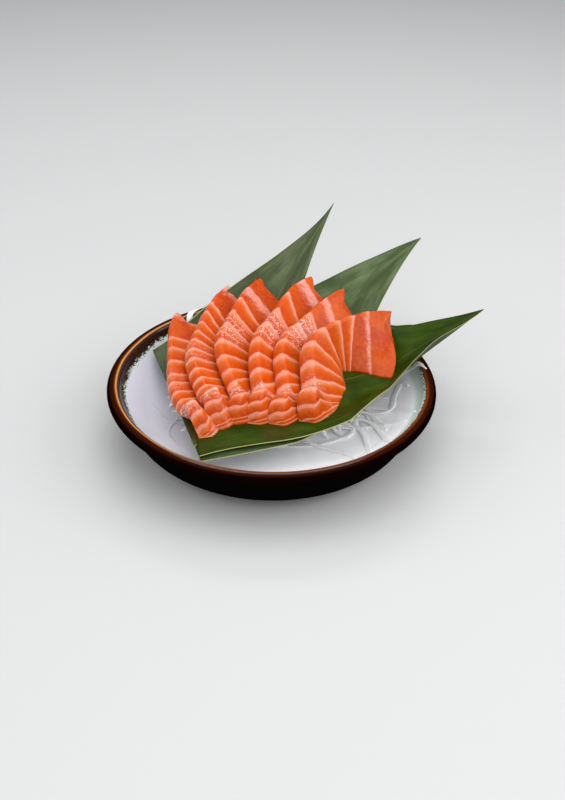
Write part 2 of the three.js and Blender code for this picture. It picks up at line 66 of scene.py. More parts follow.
# Each leaf grows along `heading` at its tip and `heading + bend` at its cut end. Its two halves
# have their own (width, station of greatest width, fullness of the tip), and it narrows to its
# base. Beyond the hinge line, which lies under the food's back edge, the leaf rises towards its
# tip. Its front edge turns up over the stations of `lift_run`.
LEAVES = [
    dict(name="leaf_back", layer=1, tip=(36.9, 119.9, 86.2), heading=53, bend=8, length=229.5,
         back=(74, 0.43, 0.33), front=(74, 0.34, 0.4), hinge=(0, 54), rise_direction=102.3,
         rise_power=1.22, cup=2.4, cut=((-68.5, 32.8), (-36.2, -68))),
    dict(name="leaf_middle", layer=0, tip=(90.4, 108.4, 69.6), heading=28.7, bend=31.2,
         length=196.5, back=(74, 0.57, 1.15), front=(74, 0.56, 0.66), hinge=(48.5, 47),
         rise_direction=50.6, rise_power=1.19, cup=1, cut=((-14, 62), (44, 14))),
    dict(name="leaf_front", layer=2, tip=(119.7, 38.4, 57.3), heading=23.1, bend=5.8,
         length=188.5, narrowing=0.32, back=(79.5, 0.71, 0.87), front=(85.3, 0.43, 0.98),
         hinge=(65.8, 7), rise_direction=-6.5, rise_power=0.94, edge_lift=10.2,
         lift_run=(0.23, 0.59), cut=((-46, 10), (-36, -69.8))),
    dict(name="leaf_under", layer=0, tip=(58, -8, LEAF_LAYER[0]), heading=29, bend=-12,
         length=108, back=(44, 0.45, 0.6), front=(44, 0.45, 0.6), hinge=(66, 7),
         rise_direction=-17, rise_power=1, cut=((-68.5, 32.8), (-36.2, -69.2))),
]
NARROWED_BASE = 0.45  # share of a leaf's length over which it narrows to its base
LIP_CROSSING = 50  # the leaves cross the dish's lip on this side, in degrees
CROSSING = (-0.3, 0.5)  # cosine from there where they start to climb, and over how much
SPREAD_RUN = (64, 14)  # radius where the stack starts to fan out, and over how much
LIP_RUN = (65, 19)  # the same for the climb over the lip
RIPPLE = dict(height=0.3, start=66, run=20, x=(0.16, -0.05), y=0.11)
LIFT_RUN = (0.2, 0.5)  # stations of a leaf that doesn't give its own
EDGE_FROM = 0.5  # share of a leaf's half width beyond which its edge turns up
BACK_LIFT = 0.3  # share of the edge's lift that its back edge takes
LIFT_RATE, CUP_RATE, TIP_RATE = 4, 3, 4  # how soon lift and cup are full, and how late they end
LEAF_END = 0.9985  # the last station, just short of the pointed tip
SPINE_STEPS, LEAF_COLUMNS, LEAF_STATIONS = 120, 57, 150

# Each slice, from left to right: its foot line and cut face as in the CAD part; where its fat
# lines cross the ridge, in mm from the tail's end; its slant, which is how far a line that
# leaves the ridge at s has moved towards the tail when it reaches the foot; how far the lines
# near the tail bow; its broad bands of fat as (where they begin, width, strength); and its torn
# flesh, which sparkles, partly from its gloss and partly from painted glints (white specks painted
# on as highlights), as (start, end, strength). The tail of a `crossed` slice passes through
# leaf_back: it isn't lifted onto the leaves, because that would fold its face.
SLICES = [
    dict(corner=(-34, -6), headings=(254.5, 293), curl=-46, tail=50.5,
         front=48.5, bend_run=66, height=(35, 22.5, 21), lean=(67.5, 65.5, 62), end_lean=32,
         thickness=7.4, fat_at=(25, 34.5, 47, 60.5, 69, 79, 87, 94),
         slant=((-27, 12), (0, 10), (40, 12)), bow=-1, bands=((-2, 12, 0.9), (99, 24, 0.5)),
         torn_and_glints=(52, 80, 0.3)),
    dict(corner=(-18, 11.5), headings=(237.5, 281.5), curl=-57, tail=49.5,
         front=61.5, bend_run=85, height=(40.5, 31, 22), lean=(61.5, 54.5, 51), end_lean=21.5,
         thickness=9.4, fat_at=(22, 32, 43, 53, 62, 72, 81, 90, 98, 105, 112, 119, 126),
         slant=((-30, -12), (-20, -10), (9, 11.5), (60, 16)), bow=-1,
         bands=((-2, 16, 0.95), (119, 22, 0.45)), torn_and_glints=(58, 84, 0.4), crossed=True),
    dict(corner=(-3, 16), headings=(226.5, 277.5), curl=-77, tail=42,
         front=65, bend_run=85, height=(44.5, 32.5, 16.5), lean=(58, 47, 46.5), end_lean=17.5,
         thickness=8.3, fat_at=(26, 41, 54.5, 70.5, 83, 93.6, 102.6, 113, 120, 127),
         slant=((-23, -2), (-12, 3.5), (-2, 5.5), (12, 12), (27, 14), (34, 17.5), (48, 25),
                (63, 29)),
         bow=-3, bands=((11, 17, 1), (105, 10, 0.75)), torn_and_glints=(42, 69, 1)),
    dict(corner=(15, 19), headings=(214.5, 269.5), curl=-58, tail=42,
         front=67.5, bend_run=85, height=(45, 29.5, 17.5), lean=(58, 38.5, 43.5), end_lean=20.5,
         thickness=9.1, fat_at=(26.5, 46, 61.5, 76, 87, 98.5, 111.8, 121, 128, 134),
         slant=((-23, -5), (-9, 3), (2, 5), (14, 6.5), (22, 9.5), (31, 11.5), (44, 21),
                (60, 28)),
         bow=-3, bands=((4, 19, 1), (109, 10, 0.8)), torn_and_glints=(46, 75, 1)),
    dict(corner=(29.7, 13.4), headings=(199.5, 261.5), curl=-42,
         tail=28.5, front=63, bend_run=48, height=(45.5, 29.5, 15.5), lean=(57, 42.5, 43),
         end_lean=18, thickness=10, fat_at=(33.3, 46.5, 63, 74.8, 87.4, 97, 106, 114, 121),
         slant=((-8, -0.5), (0, 1.5), (11, 7), (19, 9), (30, 10), (48, 24), (60, 26)), bow=-1,
         bands=((13, 15, 1), (97, 10, 0.8)), torn_and_glints=(33, 62, 1)),
    dict(corner=(46.5, 0.7), headings=(178, 253.5), curl=-28, tail=20.8,
         front=49.7, bend_run=28, height=(46, 34.5, 18.7), lean=(63, 38, 44), end_lean=17.5,
         thickness=11.2, notch=(11.7, 23, 12), fat_at=(30, 40, 52, 65, 78, 90, 101, 111),
         slant=((-6, -4), (25, 18), (42, 24)), bow=0, bands=((16.6, 10, 0.95), (90, 9, 0.6)),
         torn_and_glints=(84, 97, 0.8)),
]
NOTCH_POWER = 2.3  # how sharply the notch at the inner corner comes to its point
FRONT_REACHED = 0.7  # share of the front at which its own height and lean hold
CURL_RUN = 26  # length of the curled front end
CURLED_THICKNESS = 0.2  # how much of the curl the slice's thickness follows
UPRIGHT_RUN = 24  # length over which the face comes up to its end lean
ROUND_RUN, ROUND_POWER = 9, 2.2  # how long and how bluntly the front end loses its height
LEAST_HEIGHT = 4  # of the front end
TAIL_RUN = 12  # length of the drawn-in tail
WALK_STEP = 0.5  # step in which foot lines are walked
FRONT_SPARE, TAIL_SPARE = 4, 24  # length that a foot line runs on beyond its ends
RIDGE_SAMPLES = 400
FOOT_SINK = 0.3  # soft flesh settles on the leaf, where the solids keep a gap
FOOT_LIFT = 0.05  # all but the feet stay this much higher
FLAKE_SIZES, FLAKE_COUNT = (0.65, 1.35), 20  # how far each stands out, against the others
FACE_ROWS, RIM_ROWS, BACK_ROWS = 34, 12, 14

STRAND_ROUTES = [
    [(30, 14), (58, 21), (79.5, 18.5), (86, 10.5)],
    [(30, 4), (62, -9), (68.5, 4.5), (73, 12.5), (76.5, 6)],
    [(32, 16), (52, 14), (61, 8.5), (68, 3.5)],
    [(32, 6), (49, 4), (52.5, -3), (53.5, -13.5)],
    [(30, 0), (46, -3), (48.5, -8.5), (52, -21)],
    [(32, 8), (50, 2), (54, -4), (58, -17), (62, -29)],
    [(28, 4), (46, -3), (44, -22), (36, -28), (22, -32.5), (5, -33.5)],
    [(20, -4), (43, -17), (49.5, -26), (51, -59)],
    [(26, -2), (49, -12), (57, -23), (62, -51)],
    [(22, -6), (38, -18), (60, -20), (72, -28)],
    [(10, -10), (20, -30), (38, -44), (44, -58)],
    [(30, 12), (56, -1), (70, -12), (77, -24)],
    [(-26, 4), (-48, -8), (-55, -27), (-48, -42)],
    [(-28, 0), (-46, -16), (-58, -14), (-66, -2)],
    [(-22, 22), (-44, 44), (-49.5, 67.5), (-41.5, 78.5)],
    [(-18, 26), (-34, 48), (-52, 50), (-60, 38)],
    [(8, 30), (18, 52), (34, 60), (48, 50)],
    [(24, 24), (46, 38), (60, 34), (66, 20)],
]
ROUTE_STEPS = 40
STRAND = dict(width=2.9, thickness=0.4)
SOAKED = dict(width=1.3, thickness=0.08)  # strands at the front left lie flush and wet
SOAKED_BEYOND = -30  # their ends lie further left than this
STRAND_SECTION = [(-1, -0.25), (-0.8, -0.5), (0.8, -0.5), (1, -0.25),
                  (1, 0.25), (0.8, 0.5), (-0.8, 0.5), (-1, 0.25)]


# ---------------- small helpers

def smooth(x):
    t = np.clip(x, 0, 1)
    return t * t * (3 - 2 * t)


def mix(a, b, t):
    return a + (b - a) * t


def run_in(x, start, run):
    """Rises smoothly from 0 at the start to 1 at the end of the run."""
    return smooth((x - start) / run)


def length_along(points):
    return np.concatenate([[0], np.cumsum(np.linalg.norm(np.diff(points, axis=0), axis=1))])


def add_object(name, data):
    obj = bpy.data.objects.new(name, data)
    bpy.context.scene.collection.objects.link(obj)
    return obj


def turn_outward(mesh):
    work = bmesh.new()
    work.from_mesh(mesh)
    bmesh.ops.recalc_face_normals(work, faces=work.faces)
    work.to_mesh(mesh)
    work.free()


def mesh_object(name, points, faces, uv=None, attributes=None):
    """A smooth-shaded closed mesh from points in mm, faces, and values for each point."""
    mesh = bpy.data.meshes.new(name)
    mesh.from_pydata((np.asarray(points) * MM).tolist(), [], faces)
    mesh.polygons.foreach_set("use_smooth", [True] * len(mesh.polygons))
    corner = np.empty(len(mesh.loops), np.int32)
    mesh.loops.foreach_get("vertex_index", corner)
    if uv is not None:
        layer = mesh.uv_layers.new(name="UVMap")
        layer.data.foreach_set("uv", np.asarray(uv, np.float32)[corner].ravel())
    for key, values in (attributes or {}).items():
        attribute = mesh.attributes.new(key, "FLOAT", "POINT")
        attribute.data.foreach_set("value", np.asarray(values, np.float32))
    mesh.validate()
    mesh.update()
    turn_outward(mesh)
    return add_object(name, mesh)


def ring_faces(rings, sides):
    """Quads between closed rings with an even number of sides, and a ladder over both ends."""
    i, j = np.meshgrid(np.arange(rings - 1), np.arange(sides), indexing="ij")
    a = i * sides + j
    b = i * sides + (j + 1) % sides
    faces = np.stack([a, b, b + sides, a + sides], -1).reshape(-1, 4).tolist()
    last = (rings - 1) * sides
    for low in range(sides // 2 - 1):
        high = sides - 1 - low
        faces.append([low, high, high - 1, low + 1])
        faces.append([last + low, last + low + 1, last + high - 1, last + high])
    return faces


# ---------------- node helpers

class Nodes:
    """A node material, built with short calls. A value is a number, a colour or a socket."""

    def __init__(self, name):
        self.material = bpy.data.materials.new(name)
        self.material.use_nodes = True
        self.tree = self.material.node_tree
        self.shader = self.tree.nodes["Principled BSDF"]

    def add(self, kind, **settings):
        node = self.tree.nodes.new(kind)
        for key, value in settings.items():
            setattr(node, key, value)
        return node

    def link(self, value, socket):
        if isinstance(value, bpy.types.NodeSocket):
            self.tree.links.new(value, socket)
        else:
            socket.default_value = value

    def math(self, operation, a, b=0.0, clamp=False):
        node = self.add("ShaderNodeMath", operation=operation, use_clamp=clamp)
        self.link(a, node.inputs[0])
        self.link(b, node.inputs[1])
        return node.outputs[0]

    def plus(self, a, b):
        return self.math("ADD", a, b)

    def minus(self, a, b):
        return self.math("SUBTRACT", a, b)

    def times(self, a, b):
        return self.math("MULTIPLY", a, b)

    def swing(self, noise, reach):
        """A noise from 0 to 1, moved to lie around zero and stretched."""
        return self.times(self.minus(noise, 0.5), reach)

    def blend(self, amount, a, b):
        node = self.add("ShaderNodeMix", data_type="RGBA", clamp_factor=True)
        self.link(amount, node.inputs["Factor"])
        self.link(a, node.inputs[6])
        self.link(b, node.inputs[7])
        return node.outputs[2]

    def tint(self, colour, amount, share, other):
        """The colour, with a share of the other one laid over it."""
        return self.blend(self.times(amount, share), colour, other)

    def ramp(self, value, stops):
        node = self.add("ShaderNodeValToRGB")
        elements = node.color_ramp.elements
        while len(elements) < len(stops):
            elements.new(1.0)
        for element, (place, colour) in zip(elements, stops):
            element.position = place
            element.color = colour
        self.link(value, node.inputs[0])
        return node.outputs[0]

    def step(self, value, low, high):
        """Rises from 0 at the low value to 1 at the high one."""
        node = self.add("ShaderNodeMapRange", interpolation_type="SMOOTHSTEP")
        self.link(value, node.inputs["Value"])
        node.inputs["From Min"].default_value = low
        node.inputs["From Max"].default_value = high
        return node.outputs["Result"]

    def fall(self, value, low, high):
        return self.minus(1.0, self.step(value, low, high))

    def noise(self, scale, vector=None, detail=2.0, roughness=0.5):
        node = self.add("ShaderNodeTexNoise")
        node.inputs["Scale"].default_value = scale
        node.inputs["Detail"].default_value = detail
        node.inputs["Roughness"].default_value = roughness
        self.link(vector if vector is not None else self.position(), node.inputs["Vector"])
        return node.outputs["Fac"]

    def position(self):
        return self.add("ShaderNodeTexCoord").outputs["Object"]

    def split(self, vector):
        node = self.add("ShaderNodeSeparateXYZ")
        self.link(vector, node.inputs[0])
        return node.outputs[0], node.outputs[1]

    def uv(self):
        return self.split(self.add("ShaderNodeUVMap", uv_map="UVMap").outputs[0])

    def stretched(self, u, v, across, along):
        """A place for a noise that repeats so many times across and along the piece."""
        node = self.add("ShaderNodeCombineXYZ")
        self.link(self.times(u, across), node.inputs[0])
        self.link(self.times(v, along), node.inputs[1])
        return node.outputs[0]

    def attribute(self, name):
        return self.add("ShaderNodeAttribute", attribute_name=name).outputs["Fac"]

    def bump(self, height, strength, distance, normal=None):
        node = self.add("ShaderNodeBump")
        self.link(strength, node.inputs["Strength"])
        node.inputs["Distance"].default_value = distance
        self.link(height, node.inputs["Height"])
        if normal is not None:
            self.link(normal, node.inputs["Normal"])
        return node.outputs[0]

    def set(self, **values):
        for key, value in values.items():
            self.link(value, self.shader.inputs[key.replace("_", " ")])
        return self.material


def srgb(r, g, b):
    def line(c):
        c = c / 255
        return c / 12.92 if c <= 0.04045 else ((c + 0.055) / 1.055) ** 2.4
    return (line(r), line(g), line(b), 1.0)


# ---------------- dish

def well_height(radius):
    rise = LIP_MIDDLE - DISH["well_floor"]
    return DISH["well_floor"] + rise * (radius / WELL_EDGE) ** DISH["well_steepness"]


def dish_surface(radius):
    """The height of the well and of the lip's top."""
    in_lip = np.clip((radius - DISH["lip_radius"]) / DISH["lip_half_width"], -1, 1)
    lip = LIP_MIDDLE + DISH["lip_half_height"] * np.sqrt(1 - in_lip ** 2)
    return np.where(radius < WELL_EDGE, well_height(np.minimum(radius, WELL_EDGE)),
                    np.maximum(lip, well_height(WELL_EDGE)))


def dish_profile():
    """Points (radius, height) from the well's middle to the foot, and the number of the crest."""
    out = np.linspace(DISH["well_middle"], 1, DISH["well_rings"])
    well = [(r, well_height(r)) for r in WELL_EDGE * out ** DISH["well_spacing"]]
    lip = []
    for angle in np.radians(np.linspace(DISH["lip_from"], DISH["lip_to"], DISH["lip_rings"])):
        lip.append((DISH["lip_radius"] + DISH["lip_half_width"] * math.cos(angle),
                    LIP_MIDDLE + DISH["lip_half_height"] * math.sin(angle)))
    body = []
    for share in np.linspace(1, 0, DISH["body_rings"]):
        inset = (1 - share) ** DISH["roundness"]
        body.append((mix(DISH["neck_radius"], DISH["foot_radius"], inset),
                     DISH["neck_height"] * share))
    foot = [(r, 0.0) for r in DISH["foot_rings"]]
    return np.array(well + lip + body + foot), len(well) + len(lip) // 2


def make_dish():
    profile, crest = dish_profile()
    length = length_along(profile)
    length -= length[crest]
    n = DISH["segments"]
    angle = np.arange(n) * 2 * math.pi / n
    radius, height = profile[:, 0], profile[:, 1:]
    points = np.stack([np.outer(radius, np.cos(angle)), np.outer(radius, np.sin(angle)),
                       np.repeat(height, n, axis=1)], -1).reshape(-1, 3)
    i, j = np.meshgrid(np.arange(len(profile) - 1), np.arange(n), indexing="ij")
    a, b = i * n + j, i * n + (j + 1) % n
    faces = np.stack([a, a + n, b + n, b], -1).reshape(-1, 4).tolist()
    faces.append(list(range(n)))
    faces.append(list(range((len(profile) - 1) * n, len(profile) * n))[::-1])
    return mesh_object("dish_glazed", points, faces,
                       attributes={"over_lip": np.repeat(length, n)})


def dish_material():
    """`across` is in mm from the lip's crest, inwards below zero, and x and y are in metres."""
    m = Nodes("dish_glaze")
    across = m.attribute("over_lip")
    x, y = m.split(m.position())
    slow = m.swing(m.noise(40), 3.0)
    place = m.plus(across, slow)
    # the well: painted darker lilac at the left and bright white at the right, which stands in for
    # shade and light, greener at its edge, with a faint ring
    well_with_painted_shade = m.blend(m.step(x, -0.07, -0.02), srgb(196, 194, 206), srgb(252, 251, 255))
    inside = m.blend(m.step(place, -15.0, -10.5), well_with_painted_shade, srgb(190, 208, 198))
    ring = m.times(m.step(across, -25.8, -24.8), m.fall(across, -24.4, -23.0))
    inside = m.tint(inside, ring, 0.18, srgb(160, 205, 195))
    # the dark glaze that broke over the edge, less at the right and more at the far left
    fewer = m.minus(m.times(m.step(x, -0.02, 0.06), 4.6), m.times(m.fall(x, -0.075, -0.045), 1.7))
    ragged = m.swing(m.noise(950, detail=3, roughness=0.7), 12.0)
    broken = m.step(m.minus(m.plus(place, ragged), fewer), -10.2, -9.4)
    dark = m.blend(m.step(m.noise(700), 0.4, 0.6), srgb(30, 22, 22), srgb(58, 26, 14))
    inside = m.blend(broken, inside, dark)
    # the lip: brown, with a brown line that is painted lighter ochre at the left as a painted
    # highlight, and dark from the crest outwards
    lip_line_with_painted_highlight = m.blend(m.step(x, -0.06, -0.02), srgb(176, 122, 66), srgb(104, 50, 16))
    brown = m.blend(m.noise(260, detail=3), srgb(112, 56, 22), srgb(76, 36, 16))
    edge = m.plus(across, m.times(slow, 0.25))
    rim = m.blend(m.step(edge, -5.2, -4.4), inside, brown)
    line = m.times(m.step(edge, -4.8, -4.3), m.fall(edge, -3.9, -3.3))
    rim = m.blend(line, rim, lip_line_with_painted_highlight)
    rim = m.blend(m.step(edge, -3.7, -2.3), rim, srgb(44, 14, 5))
    rim = m.blend(m.step(across, -1.4, 0.4), rim, srgb(9, 2, 2))
    rim = m.blend(m.step(across, 4.0, 7.0), rim, srgb(6, 5, 6))
    # glossy inside, satin outside, and worn in front
    in_front = m.fall(y, -0.08, -0.055)
    outside = m.step(m.minus(across, m.times(in_front, 2.2)), -4.8, -3.0)
    rough = m.plus(m.times(outside, 0.35), 0.14)
    gloss = m.minus(0.5, m.times(outside, 0.48))
    gloss = m.math("SUBTRACT", gloss, m.times(broken, 0.2), clamp=True)
    uneven = m.bump(m.noise(60), 0.2, 0.0012)
    fine = m.bump(m.noise(900), 0.03, 0.0004, uneven)
    return m.set(Base_Color=rim, Roughness=rough, Normal=fine, Specular_IOR_Level=gloss)


# ---------------- leaves

def half_width(leaf, across, along):
    out = []
    for width, shoulder, fullness in (leaf["front"], leaf["back"]):
        x = np.clip((1 - along) / (1 - shoulder), 0, 1)
        base = 1 - leaf.get("narrowing", 0) * (1 - smooth(along / NARROWED_BASE))
        out.append(width / 2 * mix(smooth(x), x, fullness) * base)
    return np.where(across < 0, out[0], out[1])


def leaf_spine(leaf):
    """The leaf's middle line in plan: arrays of x, y and angle from its cut end to its tip."""
    i = np.arange(SPINE_STEPS + 1)
    angle = np.radians(leaf["heading"] + leaf["bend"] * (1 - i / SPINE_STEPS))
    step = leaf["length"] / SPINE_STEPS
    x = leaf["tip"][0] - np.append(np.cumsum(np.cos(angle[::-1])[:-1])[::-1], 0) * step
    y = leaf["tip"][1] - np.append(np.cumsum(np.sin(angle[::-1])[:-1])[::-1], 0) * step
    return x, y, angle


def leaf_point(leaf, spine, along, across):
    at = np.clip(along, 0, 1) * SPINE_STEPS
    x, y, angle = (np.interp(at, np.arange(SPINE_STEPS + 1), values) for values in spine)
    reach = half_width(leaf, across, along) * across
    return x - np.sin(angle) * reach, y + np.cos(angle) * reach


def leaf_height(leaf, x, y, along, across):
    direction = math.radians(leaf["rise_direction"])
    hinge = leaf["hinge"]

    def past(px, py):
        """How far a point lies beyond the hinge line."""
        return (px - hinge[0]) * math.cos(direction) + (py - hinge[1]) * math.sin(direction)

    layer = LEAF_LAYER[leaf["layer"]]
    share = np.maximum(0, past(x, y) / past(leaf["tip"][0], leaf["tip"][1]))
    rise = (leaf["tip"][2] - layer) * share ** leaf["rise_power"]
    # where it crosses the dish's lip
    radius = np.hypot(x, y) + 1e-9
    side = math.radians(LIP_CROSSING)
    facing = (x * math.cos(side) + y * math.sin(side)) / radius
    crossing = run_in(facing, *CROSSING)
    spread = leaf["layer"] * LEAF_SPREAD * crossing * run_in(radius, *SPREAD_RUN)
    climb = DISH["height"] + LEAF_OVER_LIP - LEAF_LAYER[0]
    over_lip = climb * crossing * run_in(radius, *LIP_RUN)
    wave = np.sin(RIPPLE["x"][0] * x + RIPPLE["x"][1] * y) * np.cos(RIPPLE["y"] * y)
    ripple = RIPPLE["height"] * run_in(radius, RIPPLE["start"], RIPPLE["run"]) * wave
    # its turned-up edges and its cupping
    start, end = leaf.get("lift_run", LIFT_RUN)
    lifted = np.where(across < 0, run_in(along, start, end - start),
                      BACK_LIFT * smooth(share * LIFT_RATE))
    lift = leaf.get("edge_lift", 0) * lifted * run_in(np.abs(across), EDGE_FROM, 1 - EDGE_FROM)
    fold = leaf.get("cup", 0) * across * across * smooth(share * CUP_RATE)
    taper = smooth((1 - along) * TIP_RATE)
    return layer + spread + np.maximum(rise, over_lip) + ripple + taper * (lift + fold)


def cut_station(leaf, spine, across, latest=0.97, halvings=40):
    """Where along the leaf its cut end lies, for each place across it."""
    (ax, ay), (bx, by) = leaf["cut"]
    low, high = np.zeros_like(across), np.full_like(across, latest)
    for _ in range(halvings):
        middle = (low + high) / 2
        x, y = leaf_point(leaf, spine, middle, across)
        inside = (bx - ax) * (y - ay) - (by - ay) * (x - ax) < 0
        low, high = np.where(inside, middle, low), np.where(inside, high, middle)
    return low


def make_leaf(leaf, crowding=0.35, thin_run=0.03, thin_share=0.45):
    """A blade, with its points closer together towards its edges, where it thins out."""
    spine = leaf_spine(leaf)
    even = np.linspace(-1, 1, LEAF_COLUMNS)
    across = np.sin(even * math.pi / 2) * crowding + even * (1 - crowding)
    starts = cut_station(leaf, spine, across)
    t = np.linspace(0, 1, LEAF_STATIONS)[:, None]
    along = np.minimum(LEAF_END, mix(starts[None, :], 1, t))
    wide = np.broadcast_to(across, along.shape)
    x, y = leaf_point(leaf, spine, along, wide)
    middle = leaf_height(leaf, x, y, along, wide) + LEAF_SOLID / 2
    edge = np.clip((1 - np.abs(wide)) / thin_run, 0, 1)
    half = LEAF_THICKNESS / 2 * mix(thin_share, 1, np.sqrt(edge))
    top = np.stack([x, y, middle + half], -1)
    under = np.stack([x, y, middle - half], -1)[:, ::-1]
    rings = np.concatenate([top, under], axis=1)
    u = np.concatenate([wide, wide[:, ::-1]], axis=1) * 0.5 + 0.5
    v = np.concatenate([along, along[:, ::-1]], axis=1)
    return mesh_object(leaf["name"] + "_blade", rings.reshape(-1, 3),
                       ring_faces(LEAF_STATIONS, 2 * LEAF_COLUMNS),
                       np.stack([u, v], -1).reshape(-1, 2))


# deep, body, pale: the blade's colours; painted_sheen: how much pale grey is laid over broad
# patches as a painted sheen
LEAF_LOOKS = {
    "leaf_front": dict(deep=(12, 27, 0), body=(34, 54, 0), pale=(68, 90, 10),
                       painted_sheen=0.12, shine=0.05),
    "leaf_under": dict(deep=(30, 50, 26), body=(44, 66, 36), pale=(76, 98, 64), painted_sheen=0.3),
    "leaf_middle": dict(deep=(32, 46, 16), body=(56, 72, 34), pale=(98, 114, 78), painted_sheen=0.6),
    "leaf_back": dict(deep=(32, 44, 14), body=(52, 66, 32), pale=(92, 104, 70), painted_sheen=0.55),
}


def leaf_material(name):
    """u runs across the blade and v from its base to its tip."""
    look = LEAF_LOOKS[name]
    deep, body, pale = (srgb(*look[key]) for key in ("deep", "body", "pale"))
    m = Nodes(name + "_skin")
    u, v = m.uv()
    across = m.math("ABSOLUTE", m.minus(m.times(u, 2.0), 1.0))
    fine = m.noise(1.0, m.stretched(u, v, 105.0, 6.0), detail=4, roughness=0.7)
    broad = m.noise(1.0, m.stretched(u, v, 4.0, 9.0), detail=3)
    waved = m.math("SINE", m.plus(m.times(u, 300.0), m.times(fine, 2.5)))
    veins = m.plus(m.times(waved, 0.5), 0.5)
    tone = m.plus(m.plus(m.times(fine, 0.5), m.times(veins, 0.07)), m.times(broad, 0.5))
    colour = m.ramp(tone, [(0.3, deep), (0.54, body), (0.82, pale)])
    # painted sheen: broad patches lightened towards the pale colour stand in for reflected light
    colour = m.tint(colour, m.step(broad, 0.38, 0.76), look["painted_sheen"], pale)
    near_base = m.fall(v, 0.22, 0.5)
    stain = m.times(m.step(m.noise(40, detail=3), 0.45, 0.65), near_base)
    colour = m.tint(colour, stain, 0.7, srgb(60, 46, 8))
    midrib = m.fall(across, 0.0, 0.025)
    colour = m.tint(colour, midrib, 0.35, srgb(112, 104, 56))
    colour = m.tint(colour, m.step(across, 0.86, 1.0), 0.35, deep)
    dry_edge = m.step(across, 0.984, 0.992)
    colour = m.tint(colour, dry_edge, 0.8, srgb(172, 166, 104))
    ribs = m.bump(m.plus(veins, fine), 0.16, 0.0003)
    rib = m.bump(midrib, 0.3, 0.0005, ribs)
    crumpled = m.bump(m.noise(1.0, m.stretched(u, v, 16.0, 22.0)), 0.3, 0.002, rib)
    rough = m.plus(m.times(fine, 0.25), 0.26)
    return m.set(Base_Color=colour, Roughness=rough, Normal=crumpled,
                 Specular_IOR_Level=look.get("shine", 0.2))


# ---------------- salmon

